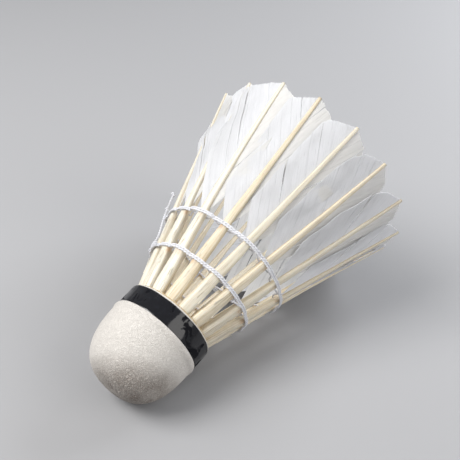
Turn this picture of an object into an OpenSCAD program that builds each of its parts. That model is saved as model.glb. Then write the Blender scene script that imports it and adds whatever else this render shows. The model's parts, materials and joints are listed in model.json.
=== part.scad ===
// Feather shuttlecock for badminton, lying on its side as it comes to rest on a floor.
//
// Every sub-part is drawn in the shuttle's upright frame: its axis is Z, z = 0 is the top
// face of the cork, the nose is below and the feathers rise above. lay_down() then puts the
// middle of the rim tape at the origin and tips the whole shuttle over, so that the nose and
// the two lowest feathers stand at the same level. The feathers head along +X, +Z is up.
// All lengths are millimetres and all angles degrees.

/* [Cork head] */
// Outside diameter of the rim tape, the widest place of the cork head
head_d = 26.4; // [25:0.1:28]
// Height of the cork head, from the nose to the top face
head_h = 23.9; // [22:0.1:26]
// Squareness of the nose: 1 is half an ellipse, less is a fuller shoulder
nose_power = 0.735; // [0.6:0.005:1]
// Height of the natural cork disc that grips the quills
cork_disc_h = 12.5; // [11:0.5:14]
// Thickness of the leather skin
skin_t = 0.6; // [0.4:0.05:0.7]
// Width of the rim tape
tape_w = 5.6; // [4:0.1:7]
// Thickness of the rim tape
tape_t = 0.15; // [0.1:0.05:0.2]
// Bare skin left showing between the rim tape and the top face
skin_rim = 0.4; // [0.2:0.1:1]
// Height of the glue poured round the quills
glue_h = 0.55; // [0.3:0.05:0.6]

/* [Feathers] */
// Radius of the circle of quills where they leave the cork
quill_circle_r = 10.6; // [10.2:0.1:10.8]
// Radius of the circle on which the feather tips stand
tip_circle_r = 32.9; // [30:0.1:34]
// Height of the feather tips over the top face of the cork
tip_h = 62.7; // [59:0.1:66]
// Depth of the round quill end glued into the cork
quill_depth = 10; // [8:0.5:10.5]
// Diameter of the round quill end
quill_d = 2.7; // [2.3:0.1:2.8]
// Width of a shaft just above the cork, measured round the skirt
shaft_w = 3.2; // [2.6:0.1:3.4]
// Width of a shaft at the feather's tip
shaft_tip_w = 1; // [0.8:0.1:1.4]
// Thickness of a shaft just above the cork, measured through the skirt
shaft_t = 2.5; // [2:0.1:2.8]
// Turn of each feather about its own shaft, which lays it like a roof tile
feather_roll = 7; // [6:0.5:9]

/* [Vanes] */
// Height along the shaft at which the trimmed vane begins
vane_foot = 25.5; // [24.5:0.5:30]
// Height along the shaft at which the vane is widest
vane_belly = 44; // [42:0.5:48]
// Greatest reach of one half of a vane from the middle of the shaft
vane_reach = 8; // [7:0.1:8.5]
// Reach of one half of a vane at the shoulder of the trimmed tip
tip_reach = 6; // [5:0.1:6.5]
// Drop of that shoulder below the feather's tip
tip_drop = 3.8; // [3:0.1:5]
// Thickness of a vane
vane_t = 0.25; // [0.2:0.05:0.3]

/* [Threads] */
// Height of the lower row of thread over the cork
lower_row_h = 12; // [10:0.5:14]
// Height of the upper row of thread over the cork
upper_row_h = 22.7; // [20:0.1:23]
// Diameter of one strand of thread
strand_d = 0.7; // [0.5:0.05:0.8]
// Place of the tie-off round the skirt
tie_angle = 115; // [100:1:130]

/* [Hidden] */
// The laws of badminton ask for sixteen feathers.
feather_count = 16;
pitch = 360 / feather_count;

// Curves, and the small gap between solids that touch
$fn = 72;
curve_steps = 12;
profile_steps = 30;
gap = 0.03;
joint = 0.01;

// Feathers: how far the skirt leans out, and the length of a shaft above the cork
lean = atan((tip_circle_r - quill_circle_r) / tip_h);
feather_l = tip_h / cos(lean);
shaft_start = 0.6;
shaft_taper = shaft_tip_w / shaft_w;
shaft_corner = 0.28;

// Radii of the head's layers, from the outside in
skin_r = head_d / 2 - tape_t;
cork_r = skin_r - skin_t;
tape_top = -skin_rim;
tape_middle = tape_top - tape_w / 2;
barrel_h = skin_rim + tape_w;

// Threads: the strands of a row, and the tie-off's knots and loose end
strand_r = strand_d / 2;
link_r = strand_r * 0.85;
knot_r = strand_d * 1.3;
knuckle_r = strand_r * 1.25;
tail_knot_r = strand_d * 0.8;
tail_turn = 18;
tail_rise = 9;
tail_stand_off = 1.5;

// ---- names ----

function two_digits(i) = i < 10 ? str("0", i) : str(i);
function shaft_name(i) = str("shaft_", two_digits(i));
function vane_name(i) = str("vane_", two_digits(i));

head_nodes = ["cork_nose", "cork_disc", "leather_skin", "rim_tape", "root_glue"];
thread_nodes = ["lower_thread", "upper_thread"];
shaft_nodes = [for (i = [1 : feather_count]) shaft_name(i)];
vane_nodes = [for (i = [1 : feather_count]) vane_name(i)];

// ---- curves ----

// Points of a quadratic curve that leaves a towards b and arrives at c
function curve(a, b, c) = [
    for (k = [0 : curve_steps])
        let (u = k / curve_steps)
        a * (1 - u) * (1 - u) + b * 2 * u * (1 - u) + c * u * u
];

// Half outline of the head from the rim of the barrel to the nose, as [radius, height]
function nose_curve(r, h) = [
    for (k = [0 : profile_steps])
        let (a = 90 - 90 * k / profile_steps)
        [
            r * pow(max(0, sin(a)), nose_power),
            -barrel_h - (h - barrel_h) * pow(max(0, cos(a)), nose_power)
        ]
];

// ---- feather measures ----

// Radius of the cone of shafts, and the height along a shaft, at a height over the cork
function cone_r(h) = quill_circle_r + h * tan(lean);
function along_shaft(h) = h / cos(lean);

// Size of a shaft at a height along it, as a share of its size at the cork
function shaft_share(l) =
    1 - (1 - shaft_taper) * (l - shaft_start) / (feather_l - shaft_start);

// Outline of one half of a vane, as [distance from the shaft's middle, height along it]
vane_half = concat(
    [[shaft_tip_w / 2 + gap, feather_l]],
    [[shaft_w / 2 * shaft_share(vane_foot) + gap, vane_foot]],
    curve(
        [shaft_w / 2 * shaft_share(vane_foot) + gap * 2, vane_foot + joint],
        [vane_reach * 0.82, (vane_foot + vane_belly) / 2],
        [vane_reach, vane_belly]
    ),
    curve(
        [vane_reach, vane_belly + joint],
        [vane_reach, (vane_belly + feather_l) / 2],
        [tip_reach, feather_l - tip_drop]
    ),
    curve(
        [tip_reach - joint, feather_l - tip_drop + joint],
        [tip_reach * 0.6, feather_l - tip_drop * 0.15],
        [shaft_tip_w / 2 + gap * 2, feather_l]
    )
);

// ---- the lie of the shuttle on the floor ----

// Where the lowest vane's outer half stands, as [reach below the axis, height over the cork]
low_vane = [
    for (p = vane_half)
        let (
            out = p[0] * sin(feather_roll),
            side = p[0] * cos(feather_roll),
            r = quill_circle_r + p[1] * sin(lean) + out * cos(lean)
        )
        [
            r * cos(pitch / 2) + side * sin(pitch / 2),
            p[1] * cos(lean) - out * sin(lean)
        ]
];
low_head = nose_curve(skin_r, head_h);

// The point of a list that reaches furthest down once the shuttle is tipped by t
function reach(p, t) = p[0] * cos(t) - p[1] * sin(t);
function lowest(points, t) =
    let (reaches = [for (p = points) reach(p, t)])
    points[search(max(reaches), reaches)[0]];

// The tip t at which the head and the lowest vane reach equally far down
function settle(t, steps) =
    steps == 0
        ? t
        : let (head = lowest(low_head, t), vane = lowest(low_vane, t))
          settle(atan((vane[0] - head[0]) / (vane[1] - head[1])), steps - 1);
tip_over = settle(15, 8);
echo(tip_over = tip_over, lean = lean, feather_l = feather_l);

module lay_down() {
    rotate([0, 90 - tip_over, 0])
        translate([0, 0, -tape_middle])
            children();
}

// The frame of feather i: Z runs up its shaft from the cork, X faces out of the skirt and
// Y goes round it
module on_feather(i) {
    rotate([0, 0, (i - 0.5) * pitch])
        translate([quill_circle_r, 0, 0])
            rotate([0, lean, 0])
                rotate([0, 0, feather_roll])
                    children();
}

// ---- head ----

// The round quill ends, or with a little extra radius the holes that take them
module quills(extra = 0) {
    for (i = [1 : feather_count]) {
        on_feather(i)
            translate([0, 0, -quill_depth - extra])
                cylinder(h = quill_depth + extra + 2, d = quill_d + 2 * extra);
    }
}

// The skin's inside, filled: both corks are cut from this
module cork_blank() {
    rotate_extrude()
        polygon(concat([[0, 0], [cork_r, 0]], nose_curve(cork_r, head_h - skin_t)));
}

module cork_nose() {
    color("peru")
        intersection() {
            cork_blank();
            translate([0, 0, -head_h])
                cylinder(h = head_h - cork_disc_h, r = head_d);
        }
}

module cork_disc() {
    color("burlywood")
        difference() {
            intersection() {
                cork_blank();
                translate([0, 0, -cork_disc_h])
                    cylinder(h = cork_disc_h, r = head_d);
            }
            quills(gap);
        }
}

module leather_skin() {
    color("gainsboro")
        difference() {
            rotate_extrude()
                polygon(concat([[0, 0], [skin_r, 0]], nose_curve(skin_r, head_h)));
            cork_blank();
        }
}

module rim_tape() {
    color("black")
        translate([0, 0, tape_top - tape_w])
            difference() {
                cylinder(h = tape_w, d = head_d);
                translate([0, 0, -1])
                    cylinder(h = tape_w + 2, r = skin_r);
            }
}

// A ring of glue that fills the corner between the cork and every quill
module root_glue() {
    glue_out = skin_r - skin_t / 2;
    glue_in = quill_circle_r - quill_d * 0.75;
    slope = glue_h * 0.8;
    color("wheat")
        difference() {
            rotate_extrude()
                polygon([
                    [glue_in, 0],
                    [glue_out, 0],
                    [glue_out - slope, glue_h],
                    [glue_in + slope, glue_h]
                ]);
            quills(gap);
        }
}

// ---- feathers ----

// A rectangle with rounded corners, w wide across Y and t thick across X
module shaft_section(w, t) {
    r = shaft_corner * t;
    steps = 4;
    polygon([
        for (quarter = [0 : 3], k = [0 : steps])
            let (
                a = 90 * quarter + 90 * k / steps,
                sx = quarter == 0 || quarter == 3 ? 1 : -1,
                sy = quarter < 2 ? 1 : -1
            )
            [sx * (t / 2 - r) + r * cos(a), sy * (w / 2 - r) + r * sin(a)]
    ]);
}

module shaft(i) {
    color("cornsilk")
        on_feather(i) {
            translate([0, 0, -quill_depth])
                cylinder(h = quill_depth + shaft_start + 0.2, d = quill_d);
            translate([0, 0, shaft_start])
                linear_extrude(height = feather_l - shaft_start, scale = shaft_taper)
                    shaft_section(shaft_w, shaft_t);
        }
}

// Two thin plates, one on each side of the shaft and a little inside its middle
module vane(i) {
    inset = shaft_t * shaft_taper / 4;
    color("white")
        on_feather(i)
            for (side = [0, 1])
                mirror([0, side, 0])
                    translate([-inset - vane_t / 2, 0, 0])
                        rotate([90, 0, 90])
                            linear_extrude(height = vane_t)
                                polygon(vane_half);
}

// ---- threads ----

// Half the space that a shaft takes in a row of thread, measured from the cone of shafts
function half_shaft(h) = shaft_t / 2 * shaft_share(along_shaft(h)) / cos(lean);
function row_out(h) = cone_r(h) + half_shaft(h) + strand_r + 4 * gap;
function row_in(h) = cone_r(h) - half_shaft(h) - strand_r - 4 * gap;

module strand_ring(r, h) {
    translate([0, 0, h])
        rotate_extrude()
            translate([r, 0])
                circle(r = strand_r);
}

// One row: two strands outside the shafts, one inside, and a link in every space between
module thread_row(h) {
    strand_ring(row_out(h), h - strand_r * 0.95);
    strand_ring(row_out(h), h + strand_r * 0.95);
    strand_ring(row_in(h), h);
    for (i = [1 : feather_count]) {
        rotate([0, 0, i * pitch])
            translate([row_in(h), 0, h])
                rotate([0, 90, 0])
                    cylinder(h = row_out(h) - row_in(h), r = link_r);
    }
}

// A place on the skirt: a turn from the tie-off, a height, and a stand-off from the shafts
function on_skirt(turn, h, off) = [
    (row_out(h) + off) * cos(tie_angle - turn),
    (row_out(h) + off) * sin(tie_angle - turn),
    h
];

// A straight length of thread from a to b, with a small round knuckle at a
module length_of_thread(a, b) {
    run = b - a;
    translate(a) {
        sphere(r = knuckle_r);
        rotate([0, acos(run[2] / norm(run)), atan2(run[1], run[0])])
            cylinder(h = norm(run), r = strand_r);
    }
}

module lower_thread() {
    color("white") {
        thread_row(lower_row_h);
        translate(on_skirt(0, lower_row_h, 0))
            sphere(r = knot_r);
    }
}

// The upper row's loose end is brought down to the tie-off and also stands free above it
module upper_thread() {
    start = on_skirt(2, lower_row_h + knot_r + strand_d, strand_r);
    cross = on_skirt(tail_turn / 2, upper_row_h, knuckle_r + strand_d);
    tail = on_skirt(tail_turn, upper_row_h + tail_rise, tail_stand_off);
    color("white") {
        thread_row(upper_row_h);
        length_of_thread(start, cross);
        length_of_thread(cross, tail);
        translate(tail)
            sphere(r = tail_knot_r);
    }
}

// ---- assembly ----

lay_down() {
    cork_nose();
    cork_disc();
    leather_skin();
    rim_tape();
    root_glue();
    lower_thread();
    upper_thread();
    for (i = [1 : feather_count]) {
        shaft(i);
        vane(i);
    }
}
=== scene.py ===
"""Looks of a feather shuttlecock that lies on its side, built around its CAD frame.

Shapes are made in the shuttle's own upright frame, in millimetres: z runs up its axis from
the cork's top face to the feather tips, x points at the floor side and y goes round to the
right. Everything is turned into the row's frame, in metres, as its mesh is made.
"""
import json
import math

import bpy
import numpy as np
from mathutils import Matrix, Vector


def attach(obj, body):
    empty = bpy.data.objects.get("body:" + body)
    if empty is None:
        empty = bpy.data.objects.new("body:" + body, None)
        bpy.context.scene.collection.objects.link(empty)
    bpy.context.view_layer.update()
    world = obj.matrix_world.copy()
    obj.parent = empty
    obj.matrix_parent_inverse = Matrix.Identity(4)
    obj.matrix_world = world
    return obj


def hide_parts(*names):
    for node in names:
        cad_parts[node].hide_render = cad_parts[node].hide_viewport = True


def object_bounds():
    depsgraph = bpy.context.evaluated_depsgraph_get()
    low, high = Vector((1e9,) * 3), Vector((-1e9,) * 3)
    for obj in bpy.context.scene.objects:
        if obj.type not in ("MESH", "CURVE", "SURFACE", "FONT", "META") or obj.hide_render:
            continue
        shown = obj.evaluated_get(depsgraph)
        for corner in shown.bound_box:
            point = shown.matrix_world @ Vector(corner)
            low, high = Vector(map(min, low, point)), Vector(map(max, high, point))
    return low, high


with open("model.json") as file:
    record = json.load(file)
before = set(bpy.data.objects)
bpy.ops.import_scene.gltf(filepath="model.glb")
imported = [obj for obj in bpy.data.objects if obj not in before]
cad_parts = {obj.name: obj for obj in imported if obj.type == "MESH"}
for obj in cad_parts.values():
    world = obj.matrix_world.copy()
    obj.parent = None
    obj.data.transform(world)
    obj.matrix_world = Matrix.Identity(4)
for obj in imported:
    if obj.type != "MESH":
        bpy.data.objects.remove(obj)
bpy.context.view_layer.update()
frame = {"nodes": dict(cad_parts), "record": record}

MM = 0.001
FEATHERS = 16
PITCH = 2 * math.pi / FEATHERS
rng = np.random.default_rng(21)


# ---------------------------------------------------------------- the upright frame

RIM = frame["record"]["mounts"][0]
UP = -np.array(RIM["axis"]) / np.linalg.norm(RIM["axis"])
AROUND = np.array([0.0, 1.0, 0.0])
FLOORWARD = np.cross(AROUND, UP)
AXES = np.stack([FLOORWARD, AROUND, UP])


def node_points(node):
    """A CAD node's vertices along the three upright axes, in millimetres from the origin."""
    mesh = frame["nodes"][node].data
    points = np.empty(len(mesh.vertices) * 3)
    mesh.vertices.foreach_get("co", points)
    return points.reshape(-1, 3) @ AXES.T / MM


TOP = node_points("leather_skin")[:, 2].max()


def upright(node):
    """A CAD node's vertices in the upright frame, in millimetres."""
    return node_points(node) - [0, 0, TOP]


def to_row(points):
    """Points of the upright frame in the row's frame, in metres."""
    return (np.asarray(points, float) + [0, 0, TOP]) @ AXES * MM


def polar(radius, angle, height):
    """Upright points from a radius, an angle in radians and a height, of any one shape."""
    radius, angle, height = np.broadcast_arrays(radius, angle, height)
    return np.stack([radius * np.cos(angle), radius * np.sin(angle), height], -1)


# ---------------------------------------------------------------- measures from the CAD

tape = upright("rim_tape")
TAPE_R = np.hypot(tape[:, 0], tape[:, 1]).max()
TAPE_LOW, TAPE_HIGH = tape[:, 2].min(), tape[:, 2].max()
NOSE = upright("leather_skin")[:, 2].min()


def shaft_ends(node):
    """The middles of a shaft's two end faces, low and high, in the upright frame."""
    points = upright(node)
    middle = points.mean(0)
    along = np.linalg.svd(points - middle, full_matrices=False)[2][0]
    along *= np.sign(along[2])
    reach = (points - middle) @ along
    edge = 0.05
    low, high = reach.min() + edge, reach.max() - edge
    return points[reach < low].mean(0), points[reach > high].mean(0)


class Feather:
    """One feather's place: its foot on the cork's top face, its own axes and its length."""

    def __init__(self, index):
        low, high = shaft_ends(f"shaft_{index:02d}")
        self.index = index
        self.z = (high - low) / np.linalg.norm(high - low)
        self.foot = low - self.z * low[2] / self.z[2]
        self.length = np.linalg.norm(high - self.foot)
        self.depth = np.linalg.norm(self.foot - low)
        outward = high * [1, 1, 0] / np.hypot(high[0], high[1])
        self.y = np.cross(self.z, outward)
        self.y /= np.linalg.norm(self.y)
        self.x = np.cross(self.y, self.z)
        self.angle = math.atan2(high[1], high[0])
        self.rng = np.random.default_rng(100 + index)
        self.sway, self.lift = self.rng.normal(0, LEAN_SPREAD, 2)
        self.bow = self.rng.normal(0, 0.35)
        self.roll = math.radians(ROLL + self.rng.normal(0, 0.8))

    def place(self, x, y, l):
        """Points at x out of the skirt, y round it and l along the shaft, bent as it is."""
        x, y, l = np.broadcast_arrays(x, y, l)
        share = np.clip(l / self.length, 0, 1.05)
        bend = share * share
        arch = self.bow * 4 * share * (1 - share)
        turned_x = x * math.cos(self.roll) - y * math.sin(self.roll) + self.lift * bend
        turned_y = x * math.sin(self.roll) + y * math.cos(self.roll) + self.sway * bend
        spots = (turned_x + arch)[..., None] * self.x + turned_y[..., None] * self.y
        return self.foot + spots + l[..., None] * self.z


# How far each feather is rolled, in degrees, and how far its tip strays round and out, in mm
ROLL = 5.0
LEAN_SPREAD = 0.5


# ---------------------------------------------------------------- mesh helpers

def make_piece(name, points, faces, material, replaced, smooth=True, layers=None):
    """One piece of the object from upright points, riding on the root body."""
    mesh = bpy.data.meshes.new(name)
    mesh.from_pydata(to_row(points).tolist(), [], [list(f) for f in faces])
    mesh.polygons.foreach_set("use_smooth", [smooth] * len(mesh.polygons))
    for layer, values in (layers or {}).items():
        data = mesh.attributes.new(layer, "FLOAT", "POINT").data
        data.foreach_set("value", np.asarray(values, np.float32))
    mesh.materials.append(material)
    mesh.update()
    piece = bpy.data.objects.new(name, mesh)
    bpy.context.scene.collection.objects.link(piece)
    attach(piece, "root")
    for node in replaced:
        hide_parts(node)
    return piece


class Soup:
    """Vertices and faces of many closed shells that make one piece."""

    def __init__(self):
        self.points, self.faces, self.layers, self.count = [], [], {}, 0

    def add(self, points, faces, **layers):
        points = np.asarray(points, float).reshape(-1, 3)
        self.points.append(points)
        self.faces.append(np.asarray(faces) + self.count)
        self.count += len(points)
        for name, values in layers.items():
            values = np.broadcast_to(np.asarray(values, float).ravel(), len(points))
            self.layers.setdefault(name, []).append(values)

    def piece(self, name, material, slot, replaced):
        faces = [f for block in self.faces for f in block.tolist()]
        layers = {k: np.concatenate(v) for k, v in self.layers.items()}
        points = np.concatenate(self.points)
        return make_piece(name, points, faces, material, replaced, layers=layers)


def grid_faces(rows, columns, wrap_rows=False, wrap_columns=False):
    """Quads between neighbouring points of a grid, first index row, second column."""
    index = np.arange(rows * columns).reshape(rows, columns)
    if wrap_rows:
        index = np.vstack([index, index[:1]])
    if wrap_columns:
        index = np.hstack([index, index[:, :1]])
    a, b = index[:-1, :-1], index[1:, :-1]
    c, d = index[1:, 1:], index[:-1, 1:]
    return np.stack([a, b, c, d], -1).reshape(-1, 4)


def tube(path, radius, sides=8, turn=0.0):
    """A tube round a path of points, open at both ends."""
    path = np.asarray(path, float)
    radius = np.broadcast_to(radius, len(path)).astype(float).copy()
    ahead = np.gradient(path, axis=0)
    ahead /= np.linalg.norm(ahead, axis=1)[:, None]
    normal = np.cross(ahead[0], [0.0, 0.3, 1.0])
    normals = []
    for step in ahead:
        normal = normal - step * (normal @ step)
        normal /= np.linalg.norm(normal)
        normals.append(normal)
    normals = np.array(normals)
    binormals = np.cross(ahead, normals)
    a = np.linspace(0, 2 * math.pi, sides, endpoint=False) + turn
    ring = np.cos(a)[None, :, None] * normals[:, None] + np.sin(a)[None, :, None] * binormals[:, None]
    points = path[:, None] + ring * radius[:, None, None]
    return points, grid_faces(len(path), sides, wrap_columns=True)


def closed_tube(path, radius, sides=8):
    """A tube whose two ends are closed by fans of thin triangles, as (points, faces)."""
    points, faces = tube(path, radius, sides)
    flat = points.reshape(-1, 3)
    count = len(path)
    points = np.vstack([flat, path[0], path[-1]])
    near, far = len(flat), len(flat) + 1
    k = np.arange(sides)
    nxt = (k + 1) % sides
    start = np.stack([np.full(sides, near), nxt, k, k], -1)
    last = (count - 1) * sides
    end = np.stack([np.full(sides, far), last + k, last + nxt, last + nxt], -1)
    return points, faces, start[:, :3], end[:, :3]


def add_tube(soup, path, radius, sides=8, **layers):
    """Adds a tube with closed ends to a soup."""
    points, faces, start, end = closed_tube(np.asarray(path, float), radius, sides)
    base = soup.count
    soup.add(points, faces, **layers)
    soup.faces.append(start + base)
    soup.faces.append(end + base)


# ---------------------------------------------------------------- driving values

LOWER_ROW = np.median(upright("lower_thread")[:, 2])
UPPER_ROW = np.median(upright("upper_thread")[:, 2])
skin = upright("leather_skin")
SKIN_R = np.hypot(skin[:, 0], skin[:, 1]).max()
SKIN_T = SKIN_R - np.hypot(*upright("cork_disc")[:, :2].T).max()
NOSE_POWER = 0.735
TIE_ANGLE = math.radians(117)
LOOSE_ANGLE = math.radians(241)
LAP_ANGLE = math.radians(60)
WEAR_SPOT = np.array([0.08, -0.34, -0.94])
SMEAR_SHIFT = (0.004, 0.0, 0.0)

FLOOR = (0.30, 0.30, 0.31)
WORLD_LIGHT = 0.45
KEY_POWER = 3.4
FILL_POWER = 2.1
OPEN_END_POWER = 2.2

CAMERA_AZIMUTH = -53.66
CAMERA_ELEVATION = 39.13
CAMERA_ROLL = 3.53
CAMERA_DISTANCE = 195.0
CAMERA_LENS = 58.5
CAMERA_AIM = (22.06, -3.94, 22.33)


# ---------------------------------------------------------------- materials

class Nodes:
    """A short way to write a material's node tree."""

    def __init__(self, name):
        self.material = bpy.data.materials.new(name)
        self.material.use_nodes = True
        self.tree = self.material.node_tree
        self.tree.nodes.clear()
        self.coords = self.add("TexCoord").outputs["Object"]

    def add(self, kind, **settings):
        node = self.tree.nodes.new("ShaderNode" + kind)
        for key, value in settings.items():
            setattr(node, key, value)
        return node

    def plug(self, node, **inputs):
        """Sets or links inputs by name, with _ for a space."""
        for key, value in inputs.items():
            socket = node.inputs[key.replace("_", " ")]
            if isinstance(value, bpy.types.NodeSocket):
                self.tree.links.new(value, socket)
            elif socket.type == "RGBA":
                socket.default_value = rgba(value)
            else:
                socket.default_value = value
        return node

    def attribute(self, name):
        return self.add("Attribute", attribute_name=name).outputs["Fac"]

    def stretched(self, scale, vector=None):
        node = self.add("Mapping")
        self.plug(node, Vector=vector or self.coords, Scale=scale)
        return node.outputs["Vector"]

    def noise(self, scale, detail=4.0, roughness=0.5, vector=None, distortion=0.0):
        """Noise with its scale in features per millimetre."""
        node = self.add("TexNoise")
        self.plug(node, Vector=vector or self.coords, Scale=scale / MM, Detail=detail)
        self.plug(node, Roughness=roughness, Distortion=distortion)
        return node.outputs["Fac"]

    def cells(self, scale, feature="F1", randomness=1.0, vector=None, output="Distance"):
        node = self.add("TexVoronoi", feature=feature)
        self.plug(node, Vector=vector or self.coords, Scale=scale / MM)
        self.plug(node, Randomness=randomness)
        return node.outputs[output]

    def ramp(self, value, *stops):
        """A colour ramp with (place, colour or grey) stops."""
        node = self.add("ValToRGB")
        ramp = node.color_ramp
        while len(ramp.elements) < len(stops):
            ramp.elements.new(0.5)
        for element, (place, colour) in zip(ramp.elements, stops):
            element.position = place
            element.color = rgba(colour)
        self.plug(node, Fac=value)
        return node.outputs["Color"]

    def mix(self, factor, a, b, mode="MIX"):
        node = self.add("Mix", data_type="RGBA", blend_type=mode)
        for socket, value in ((0, factor), (6, a), (7, b)):
            if isinstance(value, bpy.types.NodeSocket):
                self.tree.links.new(value, node.inputs[socket])
            elif socket == 0:
                node.inputs[0].default_value = value
            else:
                node.inputs[socket].default_value = rgba(value)
        return node.outputs[2]

    def maths(self, operation, a, b=0.0):
        node = self.add("Math", operation=operation)
        for socket, value in enumerate((a, b)):
            if isinstance(value, bpy.types.NodeSocket):
                self.tree.links.new(value, node.inputs[socket])
            else:
                node.inputs[socket].default_value = value
        return node.outputs[0]

    def bump(self, height, depth, strength=1.0, below=None):
        """Bump with its depth in millimetres, laid over another normal if one is given."""
        node = self.add("Bump")
        self.plug(node, Height=height, Strength=strength, Distance=depth * MM)
        if below is not None:
            self.plug(node, Normal=below)
        return node.outputs["Normal"]

    def surface(self, **inputs):
        shader = self.add("BsdfPrincipled")
        self.plug(shader, **inputs)
        return shader.outputs["BSDF"]

    def finish(self, shader):
        out = self.add("OutputMaterial")
        self.plug(out, Surface=shader)
        return self.material


def rgba(colour):
    """A grey level or a colour as four numbers."""
    if isinstance(colour, (int, float)):
        return (colour, colour, colour, 1.0)
    return (*colour[:3], 1.0)


def vane_material():
    """White barbs: fine streaks along each barb, cool on one side of the shaft, light let through."""
    n = Nodes("feather_vane")
    lane = n.add("CombineXYZ")
    n.plug(lane, X=n.maths("MULTIPLY", n.attribute("barb"), 1.7),
           Y=n.maths("MULTIPLY", n.attribute("along"), 0.22))
    streak = n.add("TexNoise")
    n.plug(streak, Vector=lane.outputs[0], Scale=1.0, Detail=4.0, Roughness=0.65)
    fine = streak.outputs["Fac"]
    cloud = n.ramp(n.noise(0.10, 3.0), (0.35, 0.0), (0.65, 0.35))
    tint = n.mix(n.maths("MULTIPLY", n.attribute("warm"), 0.75), VANE_COOL, VANE_WARM)
    tint = n.mix(cloud, tint, VANE_GREY)
    shade = n.ramp(fine, (0.28, 0.66), (0.38, 0.93), (0.60, 1.0))
    colour = n.mix(1.0, tint, shade, "MULTIPLY")
    normal = n.bump(fine, 0.08, 0.6)
    skin = n.surface(Base_Color=colour, Roughness=0.55, Normal=normal,
                     Sheen_Weight=0.15, Sheen_Roughness=0.4, Specular_IOR_Level=0.35)
    through = n.add("BsdfTranslucent")
    n.plug(through, Color=colour, Normal=normal)
    both = n.add("MixShader")
    n.tree.links.new(skin, both.inputs[1])
    n.tree.links.new(through.outputs[0], both.inputs[2])
    both.inputs[0].default_value = VANE_THROUGH
    return n.finish(both.outputs[0])


def quill_material(index):
    """Horn of a shaft: cream, whiter towards its tip, with long fibres and tan stains; painted tan shade on its flanks
    and inner face.
    """
    n = Nodes(f"quill_{index:02d}")
    own = np.random.default_rng(300 + index)
    height, round_it = n.attribute("height"), n.attribute("round")
    lane = n.add("CombineXYZ")
    n.plug(lane, X=n.maths("MULTIPLY", round_it, 9.0), Y=n.maths("MULTIPLY", height, 0.10))
    n.plug(lane, Z=float(own.uniform(0, 50)))
    fibre = n.add("TexNoise")
    n.plug(fibre, Vector=lane.outputs[0], Scale=1.0, Detail=5.0, Roughness=0.6)
    warm = QUILL_WARM.get(index, float(own.uniform(0.15, 0.55)))
    base = n.mix(warm, QUILL_PALE, QUILL_TAN)
    # Painted shade: the shaft's flanks and inner face, turned away from its outer face, are tinted tan, more strongly
    # on warmer shafts.
    painted_flank_shade = n.ramp(n.attribute("face"), (0.0, 0.35 + 0.6 * warm), (0.80, 0.0))
    base = n.mix(painted_flank_shade, base, QUILL_TAN)
    base = n.mix(n.ramp(fibre.outputs["Fac"], (0.48, 0.0), (0.66, 0.75)), base, QUILL_PALE)
    dark = n.ramp(fibre.outputs["Fac"], (0.30, 0.75), (0.46, 0.0))
    base = n.mix(dark, base, QUILL_DARK)
    hair = n.add("TexNoise")
    n.plug(hair, Vector=n.stretched((2.6, 1.6, 1.0), lane.outputs[0]), Scale=1.0, Detail=2.0)
    base = n.mix(n.ramp(hair.outputs["Fac"], (0.33, 0.6), (0.40, 0.0)), base, QUILL_DARK)
    patch = n.ramp(n.noise(0.5, 4.0, 0.7), (0.56, 0.0), (0.66, 0.6))
    base = n.mix(n.maths("MULTIPLY", patch, n.ramp(height, (0.0, 1.0), (1.0, 0.0))), base, QUILL_TAN)
    base = n.mix(n.attribute("stain"), base, QUILL_STAIN)
    normal = n.bump(fibre.outputs["Fac"], 0.12, 0.6)
    shader = n.surface(Base_Color=base, Roughness=0.42, Normal=normal,
                       Subsurface_Weight=0.15, Subsurface_Scale=0.8 * MM,
                       Subsurface_Radius=(1.0, 0.7, 0.4), Specular_IOR_Level=0.5)
    return n.finish(shader)


def skin_material():
    """Thin ivory leather with fine wrinkled grain and painted shade in its pores, browner and coarser where it is worn.
    """
    n = Nodes("head_skin")
    warp = n.add("TexNoise")
    n.plug(warp, Vector=n.coords, Scale=0.9 / MM, Detail=2.0)
    bent = n.mix(0.0006, n.coords, warp.outputs["Color"], "LINEAR_LIGHT")
    pores = n.cells(3.5, vector=bent)
    grain = n.noise(3.4, 6.0, 0.65)
    scuff = n.noise(0.22, 4.0, 0.6)
    wear = n.maths("MULTIPLY", n.attribute("wear"), n.ramp(scuff, (0.30, 0.55), (0.62, 1.0)))
    base = n.mix(n.ramp(grain, (0.38, 0.0), (0.62, 1.0)), SKIN_SHADE, SKIN_LIGHT)
    crease = n.ramp(pores, (0.34, 0.0), (0.62, 1.0))
    base = n.mix(n.maths("MULTIPLY", wear, 0.65), base, SKIN_WORN)
    # Painted shade: the pores' creases are darkened a little everywhere and much more where the skin is worn and its
    # pores are deeper.
    painted_pit_shade = n.maths("MULTIPLY", crease, n.maths("ADD", 0.14, n.maths("MULTIPLY", wear, 0.76)))
    base = n.mix(painted_pit_shade, base, SKIN_PIT_SHADE)
    normal = n.bump(grain, 0.07, 0.7)
    deep = n.maths("MULTIPLY", crease, n.maths("ADD", 0.40, wear))
    normal = n.bump(deep, -0.26, 0.9, normal)
    shader = n.surface(Base_Color=base, Roughness=0.60, Normal=normal, Specular_IOR_Level=0.35)
    return n.finish(shader)


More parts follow.
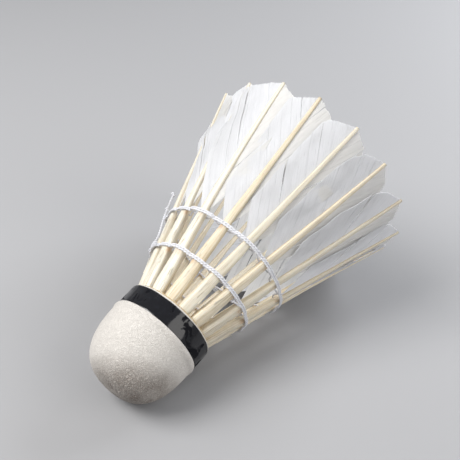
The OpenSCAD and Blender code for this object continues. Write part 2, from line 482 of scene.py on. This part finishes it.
def tape_material():
    """Glossy black film with dull smears, so that its reflections break up."""
    n = Nodes("rim_tape_film")
    shifted = n.add("Mapping")
    n.plug(shifted, Vector=n.coords, Location=SMEAR_SHIFT)
    smear = n.noise(0.24, 3.0, 0.55, vector=shifted.outputs["Vector"], distortion=0.8)
    dull = n.ramp(smear, (0.54, 0.0), (0.58, 1.0))
    rough = n.ramp(dull, (0.0, 0.10), (1.0, 0.55))
    shine = n.ramp(dull, (0.0, 0.45), (1.0, 0.05))
    dust = n.ramp(n.noise(0.9, 5.0, 0.6), (0.5, 0.0), (0.9, 0.6))
    base = n.mix(dust, TAPE_BLACK, TAPE_DUST)
    normal = n.bump(n.noise(0.35, 2.0), 0.10, 0.5)
    shader = n.surface(Base_Color=base, Roughness=rough, Normal=normal, Specular_IOR_Level=shine)
    return n.finish(shader)


def thread_material():
    """White twisted thread under clear lacquer, mottled with a bluish-grey painted shade for the shade between its
    plies.
    """
    n = Nodes("binding_thread")
    fuzz_and_ply_shade = n.noise(3.0, 4.0, 0.7)
    # Painted shade: the noise mixes in THREAD_SHADE, a bluish grey that stands in for the shade between the plies; the
    # same noise also gives the fuzz its bump.
    base = n.mix(fuzz_and_ply_shade, THREAD_SHADE, THREAD_WHITE)
    normal = n.bump(fuzz_and_ply_shade, 0.05, 0.6)
    shader = n.surface(Base_Color=base, Roughness=0.38, Normal=normal,
                       Coat_Weight=0.35, Coat_Roughness=0.2)
    return n.finish(shader)


def glue_material():
    """Hardened clear glue, slightly yellow, full of small bubbles."""
    n = Nodes("root_glue_resin")
    bubbles = n.cells(1.1)
    base = n.mix(n.ramp(bubbles, (0.1, 1.0), (0.4, 0.0)), GLUE_AMBER, GLUE_PALE)
    normal = n.bump(n.noise(0.7, 3.0), 0.25, 0.8)
    shader = n.surface(Base_Color=base, Roughness=0.18, Normal=normal,
                       Transmission_Weight=0.25, IOR=1.48)
    return n.finish(shader)


def cork_material(name, light, dark, scale):
    """Cork: grains of two browns with dark pores between them."""
    n = Nodes(name)
    grain = n.cells(scale, output="Color")
    tone = n.add("RGBToBW")
    n.plug(tone, Color=grain)
    base = n.mix(tone.outputs[0], dark, light)
    crack = n.cells(scale, "DISTANCE_TO_EDGE")
    base = n.mix(n.ramp(crack, (0.02, 0.7), (0.10, 0.0)), base, CORK_CRACK)
    base = n.mix(0.35, base, n.ramp(n.noise(1.5, 5.0), (0.3, dark), (0.7, light)))
    normal = n.bump(crack, 0.3, 0.7)
    shader = n.surface(Base_Color=base, Roughness=0.85, Normal=normal)
    return n.finish(shader)


VANE_COOL = (0.92, 0.925, 0.945)
VANE_WARM = (0.93, 0.915, 0.885)
VANE_GREY = (0.85, 0.855, 0.87)
VANE_THROUGH = 0.52
QUILL_PALE = (0.73, 0.70, 0.61)
# QUILL_TAN is both the horn's own tan and the painted shade on the shafts' flanks.
QUILL_TAN = (0.62, 0.50, 0.32)
QUILL_DARK = (0.36, 0.27, 0.16)
QUILL_STAIN = (0.42, 0.22, 0.08)
QUILL_WARM = {6: 0.15, 7: 0.05, 8: 0.10, 9: 0.75, 10: 0.30, 11: 0.50}
SKIN_LIGHT = (0.70, 0.67, 0.635)
SKIN_SHADE = (0.58, 0.55, 0.515)
SKIN_WORN = (0.36, 0.30, 0.26)
# The painted shade in the skin's pores.
SKIN_PIT_SHADE = (0.13, 0.10, 0.08)
TAPE_BLACK = (0.006, 0.006, 0.008)
TAPE_DUST = (0.016, 0.018, 0.024)
THREAD_WHITE = (0.86, 0.86, 0.89)
# THREAD_SHADE is a painted shade for the grooves between the thread's plies.
THREAD_SHADE = (0.52, 0.53, 0.58)
GLUE_PALE = (0.88, 0.84, 0.74)
GLUE_AMBER = (0.66, 0.52, 0.32)
CORK_CRACK = (0.10, 0.06, 0.03)


# ---------------------------------------------------------------- shafts

QUILL_SIDES = 20
SHAFT_KNOTS = {  # height along the shaft: (width, thickness, squareness)
    -10.0: (2.2, 2.2, 2.0),
    -0.5: (3.0, 2.6, 2.2),
    2.0: (3.6, 2.7, 3.4),
    12.0: (3.1, 2.3, 4.0),
    24.0: (2.3, 1.8, 4.2),
    44.0: (1.5, 1.3, 3.8),
    66.5: (0.95, 0.8, 3.2),
}


def knots(l, column):
    """A shaft measure at heights l, between the knots."""
    heights = sorted(SHAFT_KNOTS)
    return np.interp(l, heights, [SHAFT_KNOTS[h][column] for h in heights])


def build_shaft(f):
    """Sweeps a rounded rectangle up the feather, with uneven fibres and a cut tip."""
    steps = 130
    l = np.linspace(-f.depth, f.length, steps)
    angle = np.linspace(-math.pi, math.pi, QUILL_SIDES, endpoint=False)
    width, thick, power = (knots(l, k)[:, None] for k in range(3))
    c, s = np.cos(angle)[None], np.sin(angle)[None]
    superness = (np.abs(c) ** power + np.abs(s) ** power) ** (-1 / power)
    ripple = 1 + 0.025 * np.sin(l[:, None] * 0.45 + f.index + 2.1 * np.sin(angle)[None])
    ripple += 0.012 * f.rng.standard_normal((steps, 1)) + 0.01 * f.rng.standard_normal((1, QUILL_SIDES))
    x = thick / 2 * superness * c * ripple
    y = width / 2 * superness * s * ripple
    groove = 0.12 * thick * np.exp(-((math.pi - np.abs(angle)) / 0.35) ** 2)[None]
    x = x + groove * (l[:, None] > 1)
    points = f.place(x, y, np.broadcast_to(l[:, None], x.shape))
    stain = np.zeros((steps, QUILL_SIDES))
    for row in (LOWER_ROW, UPPER_ROW):
        off = l[:, None] * f.z[2] - row + 0.5
        spot = np.exp(-(off / 0.8) ** 2) * np.clip(np.sin(angle * 2 + f.index * 1.7), 0, 1)
        stain += spot * f.rng.uniform(0.0, 0.9)
    soup = Soup()
    soup.add(points, grid_faces(steps, QUILL_SIDES, wrap_columns=True),
             height=np.repeat(l, QUILL_SIDES), round=np.tile(angle, steps),
             face=np.tile(np.cos(angle), steps), stain=stain)
    for row, flip in ((0, True), (steps - 1, False)):
        ends = np.arange(QUILL_SIDES) + row * QUILL_SIDES
        fan = [[ends[0], ends[k], ends[k + 1]] for k in range(1, QUILL_SIDES - 1)]
        fan = np.array(fan)[:, ::-1] if flip else np.array(fan)
        soup.faces.append(fan)
    add_flakes(soup, f)
    name = f"quill_{f.index:02d}"
    return soup.piece(name, quill_material(f.index), "quill", [f"shaft_{f.index:02d}"])


def add_flakes(soup, f):
    """Slivers of horn that peel off a shaft's outer face near its root, one end standing up."""
    for _ in range(5):
        start, length = f.rng.uniform(3, 24), f.rng.uniform(2.0, 5.0)
        side, raised = f.rng.uniform(-0.42, 0.42), f.rng.uniform(0.1, 0.35)
        t = np.linspace(0, 1, 12)
        l = start + length * t
        x = knots(l, 1) / 2 - 0.06 + raised * t ** 3
        y = side * knots(l, 0) + f.rng.normal(0, 0.25) * t * t
        add_tube(soup, f.place(x, y, l), 0.13 * (1 - 0.6 * t), 5,
                 height=start, round=side * 3, face=1.0, stain=0.0)


# ---------------------------------------------------------------- vanes

class Side:
    """How the barbs of one side of a vane grow and how they were trimmed."""

    def __init__(self, sign, index, own):
        left = sign < 0
        self.sign = sign
        self.lean = math.radians((35 if left else 21) + own.normal(0, 1.5))
        self.curl = math.radians(5 if left else 4) + own.normal(0, 0.015)
        self.pitch = 0.46 if left else 0.62
        self.width, self.round = TRIM.get(index * sign, (7.6, 2.0 + own.uniform(0, 1.5)))
        self.width += own.normal(0, 0.15)
        self.roof = math.tan(math.radians(ROOF.get(index * sign, 29 + own.normal(0, 2.5))))


# By feather, minus for its left side: how wide its vane is and how round its corner, in mm,
# and how steeply its end was trimmed, in degrees
TRIM = {-6: (9.5, 3.0), -7: (13.2, 3.0), -8: (12.4, 1.5), 8: (6.0, 1.0), -9: (7.0, 1.0), 9: (6.2, 1.0), -10: (7.8, 1.4),
        10: (7.6, 3.6), -11: (7.8, 3.0), 11: (6.8, 2.4), -12: (7.8, 2.6), 12: (7.0, 2.4)}
ROOF = {-8: 14, -7: 24}
VANE_FOOT = 23.0
VANE_THICK = 0.10
BARB_RIDGE = 0.05
ALONG = np.append(np.linspace(0, 0.985, 13), 1.0)


def inside(side, f, y, l):
    """Whether a place lies within the trimmed outline of a vane."""
    over = np.clip((y - side.width + side.round) / side.round, 0, 1)
    top = f.length - side.roof * y - 1.7 * side.round * (1 - np.sqrt(1 - over * over))
    belly = 6.8 + (side.width - 6.8) * np.clip((l - 28) / 22, 0, 1)
    return (l < top) & (y < belly)


def barb_paths(side, f, roots, leans, extra):
    """Places along every barb from its root to its trimmed end, as (y, l) grids."""
    s = np.linspace(0, 34, 500)[None]
    angle = np.maximum(leans[:, None] - side.curl * s / 10, math.radians(4))
    step = np.diff(s, prepend=0)
    y = np.cumsum(np.sin(angle) * step, 1)
    l = roots[:, None] + np.cumsum(np.cos(angle) * step, 1)
    ok = inside(side, f, y, l)
    last = np.where(ok.all(1), s.shape[1] - 1, np.argmin(ok, 1))
    reach = np.maximum(s[0][np.maximum(last - 1, 0)] + extra, 0.3)
    at = ALONG[None] * reach[:, None]
    rows = np.arange(len(roots))
    ys = np.stack([np.interp(at[r], s[0], y[r]) for r in rows])
    ls = np.stack([np.interp(at[r], s[0], l[r]) for r in rows])
    return ys, ls, reach


def build_vane(f):
    """Both halves of a vane, each a row of locked clumps of barbs with a few splits."""
    soup = Soup()
    for sign in (-1, 1):
        own = np.random.default_rng(1000 + f.index * 2 + (sign > 0))
        side = Side(sign, f.index, own)
        count = int((f.length - 0.6 - VANE_FOOT) / side.pitch)
        cuts = [0]
        while cuts[-1] < count:
            cuts.append(cuts[-1] + int(own.integers(5, 15)))
        cuts[-1] = count
        splits = set(own.choice(range(1, max(2, len(cuts) - 2)), size=1).tolist())
        waves = own.uniform(0, 6.28, 3)
        for clump, (first, last) in enumerate(zip(cuts, cuts[1:])):
            if last <= first:
                continue
            rows = (last - first) * 2 + 1
            u = np.linspace(first, last, rows)
            into = (u - first) / (last - first)
            spread = np.zeros(rows)
            if clump in splits:
                spread -= math.radians(own.uniform(0.6, 1.4)) * np.exp(-into * 3)
            if clump + 1 in splits:
                spread += math.radians(own.uniform(0.4, 1.2)) * np.exp(-(1 - into) * 3)
            leans = side.lean + spread + math.radians(own.normal(0, 0.25))
            leans = leans + 0.004 * np.sin(u * 0.37 + waves[0])
            leans = leans * (1 - 0.25 * np.clip((u / count - 0.75) / 0.25, 0, 1))
            roots = VANE_FOOT + u * side.pitch
            jitter = own.normal(0, 0.10, rows) + own.normal(0, 0.12)
            y, l, reach = barb_paths(side, f, roots, leans, jitter)
            ridge = BARB_RIDGE * np.where(np.arange(rows) % 2, 1.0, -0.4)[:, None]
            ridge = ridge * np.clip(y / 1.5, 0, 1)
            camber = -y * y / (2 * 27.0)
            flutter = 0.36 * np.sin(l * 0.24 + waves[1]) * (y / 8) ** 2
            flutter += 0.16 * np.sin(l * 0.62 + y * 0.5 + waves[2]) * (y / 8) ** 1.5
            lift = own.normal(0, 0.05) * (y / 8)
            level = camber + flutter + lift - 0.12 * knots(l, 1)
            out = level + ridge + VANE_THICK / 2
            back = level + ridge - VANE_THICK / 2
            front = f.place(out, y * sign, l)
            rear = f.place(back, y * sign, l)
            loop = np.concatenate([front, rear[:, ::-1]], 1)
            columns = loop.shape[1]
            faces = grid_faces(rows, columns, wrap_columns=True)
            half = columns // 2
            k = np.arange(half - 1)
            cap = np.stack([k, k + 1, columns - 2 - k, columns - 1 - k], -1)
            end = (rows - 1) * columns
            caps = np.concatenate([cap[:, ::-1], cap + end])
            faces = np.concatenate([faces, caps])
            if sign < 0:
                faces = faces[:, ::-1]
            along = np.concatenate([ALONG * 8, ALONG[::-1] * 8])
            soup.add(loop, faces,
                     barb=np.repeat(u + 200 * f.index + 500 * (sign > 0), columns),
                     along=np.tile(along, rows), warm=float(sign > 0))
    name = f"vane_barbs_{f.index:02d}"
    return soup.piece(name, VANE_MATERIAL, "vane", [f"vane_{f.index:02d}"])


# ---------------------------------------------------------------- head

def lumps(directions, scale, seed, count=60):
    """Smooth noise over unit directions: a sum of random waves, about -1 to 1."""
    own = np.random.default_rng(seed)
    total = np.zeros(directions.shape[:-1])
    for _ in range(count):
        way = own.standard_normal(3)
        way *= scale * own.uniform(0.6, 1.5) / np.linalg.norm(way)
        total += np.cos(directions @ way + own.uniform(0, 6.28))
    return total / math.sqrt(count / 2)


def nose_outline(share):
    """Radius and height of the skin at a share of the way from the tape's foot to the nose."""
    a = (1 - share) * math.pi / 2
    barrel = SKIN_R
    r = barrel * np.sin(a) ** NOSE_POWER
    z = TAPE_LOW + (NOSE - TAPE_LOW) * np.cos(a) ** NOSE_POWER
    return r, z


def build_skin():
    """The leather over the head: a fine mesh with real pores, open only where the cork shows."""
    around, down = 400, 236
    angle = np.linspace(0, 2 * math.pi, around, endpoint=False)
    share = np.linspace(0, 1, down) ** 1.1
    r, z = nose_outline(np.clip(share, 0, 0.9995))
    barrel_z = np.array([0.0, -0.05, -0.3, TAPE_LOW + 0.6, TAPE_LOW + 0.2])
    barrel_r = np.array([SKIN_R - 0.15, SKIN_R - 0.02, SKIN_R, SKIN_R, SKIN_R])
    r, z = np.append(barrel_r, r), np.append(barrel_z, z)
    below = np.clip((TAPE_LOW - z) / 1.2, 0, 1)
    lip = 0.32 * np.exp(-((z - TAPE_LOW + 0.8) / 0.9) ** 2) * (below > 0)
    r = r + lip
    points = polar(r[:, None], angle[None], z[:, None])
    centre = np.array([0, 0, TAPE_LOW])
    ray = points - centre
    unit = ray / np.linalg.norm(ray, axis=-1)[..., None]
    soft = lumps(unit, 3.0, 5) * 0.07 + lumps(unit, 9.0, 6) * 0.025
    pores = lumps(unit, 60.0, 7, 90) * 0.008 + lumps(unit, 130.0, 8, 90) * 0.016
    wear = np.clip((unit @ WEAR_SPOT - 0.66) / 0.34, 0, 1) * (below > 0)[:, None]
    pores = pores * (0.6 + 1.6 * wear)
    points = points + unit * ((soft + pores) * below[:, None])[..., None]
    rows = len(r)
    soup = Soup()
    soup.add(points, grid_faces(rows, around, wrap_columns=True)[:, ::-1], wear=wear)
    tip = soup.count
    soup.add([points[-1].mean(0)], np.zeros((0, 4), int), wear=wear[-1].mean())
    k = np.arange(around) + (rows - 1) * around
    soup.faces.append(np.stack([np.full(around, tip), np.roll(k, -1), k], -1))
    inner = SKIN_R - SKIN_T
    first = soup.count
    soup.add(polar(inner, angle, 0.0), np.zeros((0, 4), int), wear=0.0)
    soup.add(polar(inner, angle, TAPE_LOW), np.zeros((0, 4), int), wear=0.0)
    k = np.arange(around)
    nxt = (k + 1) % around
    soup.faces.append(np.stack([k, nxt, first + nxt, first + k], -1))
    soup.faces.append(np.stack([first + k, first + nxt, first + around + nxt, first + around + k], -1))
    return soup.piece("head_skin", skin_material(), "skin", ["leather_skin"])


def build_tape():
    """The black film: its surface dips and wrinkles a little, and its end laps over its start."""
    around, up = 480, 26
    angle = np.linspace(0, 2 * math.pi * 1.02, around) + LAP_ANGLE
    z = np.linspace(TAPE_LOW, TAPE_HIGH, up)
    edge = np.clip(np.minimum(z - TAPE_LOW, TAPE_HIGH - z) / 0.35, 0, 1)
    lap = np.clip((angle - LAP_ANGLE - 2 * math.pi) / 0.02, 0, 1) * 0.12
    flat = polar(1.0, angle[None], z[:, None] / 9)
    soft = lumps(flat, 5.0, 11) * 0.035 + lumps(flat, 12.0, 12) * 0.012
    outer = TAPE_R + lap[None] + soft * edge[:, None] - 0.06 * (1 - edge[:, None]) ** 2
    wobble = 0.06 * np.sin(angle * 3 + 1) + 0.03 * np.sin(angle * 11)
    heights = z[:, None] + wobble[None] * (1 - edge[:, None])
    front = polar(outer, angle[None], heights)
    back = polar(SKIN_R + 0.01 + lap[None], angle[None], heights)
    loop = np.concatenate([front, back[::-1]], 0)
    soup = Soup()
    rows = loop.shape[0]
    soup.add(loop, grid_faces(rows, around, wrap_rows=True))
    k = np.arange(up - 1)
    cap = np.stack([k, k + 1, rows - 2 - k, rows - 1 - k], -1) * around
    soup.faces.append(cap)
    soup.faces.append(cap[:, ::-1] + around - 1)
    return soup.piece("black_rim_tape", tape_material(), "tape", ["rim_tape"])


# ---------------------------------------------------------------- threads

STRAND_R = 0.29
PLY_TWIST = 1.9


def ring_radius(angle, height, feathers, outside=True):
    """How far out a strand runs at an angle: over or under each shaft and drawn in between."""
    near = min(feathers, key=lambda f: abs(math.remainder(f.angle - angle, 2 * math.pi)))
    off = abs(math.remainder(near.angle - angle, 2 * math.pi)) / (PITCH / 2)
    l = height / near.z[2]
    centre = near.place(0.0, 0.0, np.array(l))
    cone = math.hypot(centre[0], centre[1])
    half = knots(l, 1) / 2 / near.z[2]
    over = cone + half + STRAND_R + 0.05
    under = cone - half - STRAND_R - 0.05
    drawn = cone + 0.15
    ease = 0.5 - 0.5 * math.cos(math.pi * min(1.0, max(0.0, (off - 0.35) / 0.65)))
    side = over if outside else under
    return side + (drawn - side) * ease * (0.22 if outside else 1.0)


def plies(soup, path, radius=STRAND_R, twist=PLY_TWIST, phase=0.0):
    """Two plies twisted round each other along a path, each a closed tube."""
    path = np.asarray(path, float)
    steps = np.linalg.norm(np.diff(path, axis=0), axis=1)
    s = np.concatenate([[0], np.cumsum(steps)])
    fine = np.arange(0, s[-1], 0.16)
    path = np.stack([np.interp(fine, s, path[:, k]) for k in range(3)], -1)
    ahead = np.gradient(path, axis=0)
    ahead /= np.linalg.norm(ahead, axis=1)[:, None]
    side = np.cross(ahead, [0.0, 0.0, 1.0])
    side /= np.maximum(np.linalg.norm(side, axis=1), 1e-6)[:, None]
    up = np.cross(side, ahead)
    for ply in (0, 1):
        a = 2 * math.pi * fine / twist + math.pi * ply + phase
        spots = path + radius * 0.48 * (np.cos(a)[:, None] * side + np.sin(a)[:, None] * up)
        fat = np.full(len(fine), radius * 0.58)
        fat[:2] *= 0.5
        fat[-2:] *= 0.5
        add_tube(soup, spots, fat, 7)


def row_path(feathers, height, offset, outside=True, start=0.0, sweep=2 * math.pi, lift=0.0,
             seed=0, extra=0.0):
    """A strand's path round the skirt from one angle on."""
    own = np.random.default_rng(seed)
    waves = own.uniform(0, 6.28, 4)
    angles = start + np.linspace(0, sweep, max(8, int(260 * sweep / 6.28)))
    radius = np.array([ring_radius(a, height, feathers, outside) for a in angles]) + extra
    wander = 0.10 * np.sin(angles * 3 + waves[0]) + 0.05 * np.sin(angles * 8 + waves[1])
    rise = lift * (angles - start) / max(sweep, 1e-6)
    return polar(radius, angles, height + offset + wander + rise)


def build_threads(feathers):
    """Both rows of thread, the wrapped tie-off, the riser, its tail and a short loose end."""
    for name, node, height in (("thread_row_low", "lower_thread", LOWER_ROW),
                               ("thread_row_high", "upper_thread", UPPER_ROW)):
        soup = Soup()
        seed = int(height)
        for k, offset in enumerate((-STRAND_R, STRAND_R)):
            path = row_path(feathers, height, offset, seed=seed, start=TIE_ANGLE, sweep=6.275)
            plies(soup, path, phase=k * 1.3)
        inner = row_path(feathers, height, 0.0, outside=False, seed=seed, start=TIE_ANGLE, sweep=6.275)
        plies(soup, inner)
        if node == "lower_thread":
            add_tie_off(soup, feathers)
        else:
            add_riser(soup, feathers)
        soup.piece(name, THREAD_MATERIAL, "thread", [node])


def add_tie_off(soup, feathers):
    """The lower row is wrapped four more times past the tie-off, one turn over another."""
    for k, (offset, extra, lift) in enumerate(((-0.75, 0.25, 0.5), (0.1, 0.55, -0.35),
                                               (0.8, 0.3, -0.5), (-0.3, 0.75, 0.7))):
        path = row_path(feathers, LOWER_ROW, offset, start=TIE_ANGLE - 0.16, sweep=0.42,
                        lift=lift, seed=50 + k, extra=extra)
        plies(soup, path, phase=k)
    end = row_path(feathers, LOWER_ROW - 1.6, 0.0, start=LOOSE_ANGLE, sweep=0.27,
                   lift=1.6, seed=60, extra=0.5)
    plies(soup, end, radius=0.26)


def skirt_point(feathers, angle, height, off):
    """A point a little way out from the shafts."""
    return polar(ring_radius(angle, height, feathers) + off, angle, height)


def add_riser(soup, feathers):
    """The end that runs from the tie-off past the upper row and stands up as a tail."""
    a = TIE_ANGLE
    stops = [(a, LOWER_ROW + 0.6, 0.9), (a - 0.06, LOWER_ROW + 4, 0.5), (a - 0.14, UPPER_ROW - 2, 0.6),
             (a - 0.18, UPPER_ROW, 0.8), (a - 0.24, UPPER_ROW + 3, 1.2), (a - 0.29, UPPER_ROW + 6, 1.6),
             (a - 0.30, UPPER_ROW + 9, 1.7)]
    points = np.array([skirt_point(feathers, *stop) for stop in stops])
    t = np.arange(len(points))
    fine = np.linspace(0, len(points) - 1, 90)
    path = np.stack([smooth_through(t, points[:, k], fine) for k in range(3)], -1)
    plies(soup, path, radius=0.30)
    add_knot(soup, path[-1], 0.62)
    add_knot(soup, path[60], 0.5)


def smooth_through(t, values, at):
    """A smooth curve through values at whole steps t (Catmull-Rom)."""
    k = np.clip(at.astype(int), 0, len(t) - 2)
    u = at - k
    v = np.concatenate([[2 * values[0] - values[1]], values, [2 * values[-1] - values[-2]]])
    a, b, c, d = v[k], v[k + 1], v[k + 2], v[k + 3]
    return b + 0.5 * u * (c - a + u * (2 * a - 5 * b + 4 * c - d + u * (3 * (b - c) + d - a)))


def add_knot(soup, centre, size):
    """A small knot: a strand curled three ways round a point."""
    t = np.linspace(0, 2 * math.pi, 40)
    path = np.stack([np.sin(t) + 2 * np.sin(2 * t), np.cos(t) - 2 * np.cos(2 * t), -np.sin(3 * t)], -1)
    add_tube(soup, centre + path * size / 3.2, size * 0.42, 8)


# ---------------------------------------------------------------- stage, light and camera

def build_stage():
    """A plain pale floor under the shuttle and soft studio light."""
    low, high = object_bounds()
    middle = (low + high) / 2
    bpy.ops.mesh.primitive_plane_add(size=6, location=(middle.x, middle.y, low.z))
    floor = bpy.context.object
    floor.name = "floor"
    n = Nodes("pale_floor")
    floor.data.materials.append(n.finish(n.surface(Base_Color=FLOOR, Roughness=0.7)))
    world = bpy.data.worlds.new("studio")
    bpy.context.scene.world = world
    world.use_nodes = True
    world.node_tree.nodes["Background"].inputs[0].default_value = (0.76, 0.78, 0.80, 1)
    world.node_tree.nodes["Background"].inputs[1].default_value = WORLD_LIGHT
    add_lamp("key", middle, azimuth=-132, elevation=50, distance=0.5, size=0.28, power=KEY_POWER, colour=(1.0, 0.99, 0.97))
    add_lamp("fill", middle, azimuth=10, elevation=35, distance=0.7, size=0.5, power=FILL_POWER, colour=(1.0, 0.975, 0.94))
    add_lamp("open_end", middle, azimuth=80, elevation=28, distance=0.5, size=0.3, power=OPEN_END_POWER, colour=(0.95, 0.97, 1.0))


def from_bearing(azimuth, elevation):
    """The unit vector that points at a viewer standing at an azimuth and elevation."""
    a, e = math.radians(azimuth), math.radians(elevation)
    return Vector((math.sin(a) * math.cos(e), -math.cos(a) * math.cos(e), math.sin(e)))


def add_lamp(name, target, azimuth, elevation, distance, size, power, colour):
    """A square soft box that faces the target."""
    lamp = bpy.data.lights.new(name, "AREA")
    lamp.shape = "SQUARE"
    lamp.size = size
    lamp.energy = power
    lamp.color = colour
    holder = bpy.data.objects.new(name, lamp)
    back = from_bearing(azimuth, elevation)
    holder.location = target + back * distance
    holder.rotation_euler = back.to_track_quat("Z", "Y").to_euler()
    bpy.context.scene.collection.objects.link(holder)


def add_camera():
    """The camera, aimed at the shuttle from above its nose and rolled a few degrees."""
    back = from_bearing(CAMERA_AZIMUTH, CAMERA_ELEVATION)
    data = bpy.data.cameras.new("camera")
    data.lens, data.sensor_width = CAMERA_LENS, 36.0
    camera = bpy.data.objects.new("camera", data)
    turn = back.to_track_quat("Z", "Y").to_matrix()
    roll = Matrix.Rotation(math.radians(CAMERA_ROLL), 3, "Z")
    camera.matrix_world = Matrix.LocRotScale(Vector(CAMERA_AIM) * MM + back * CAMERA_DISTANCE * MM,
                                             turn @ roll, None)
    data.clip_start = 0.01
    bpy.context.scene.collection.objects.link(camera)
    bpy.context.scene.camera = camera


# ---------------------------------------------------------------- assembly

VANE_MATERIAL = vane_material()
THREAD_MATERIAL = thread_material()

feathers = [Feather(i) for i in range(1, FEATHERS + 1)]
for feather in feathers:
    build_shaft(feather)
    build_vane(feather)
build_skin()
build_tape()
build_threads(feathers)

for node, material in (
    ("cork_nose", cork_material("granulated_cork", (0.50, 0.32, 0.17), (0.25, 0.14, 0.07), 0.6)),
    ("cork_disc", cork_material("natural_cork", (0.72, 0.54, 0.34), (0.55, 0.38, 0.22), 1.4)),
    ("root_glue", glue_material()),
):
    frame["nodes"][node].data.materials.clear()
    frame["nodes"][node].data.materials.append(material)

build_stage()
add_camera()
scene = bpy.context.scene
scene.view_settings.view_transform = "Standard"
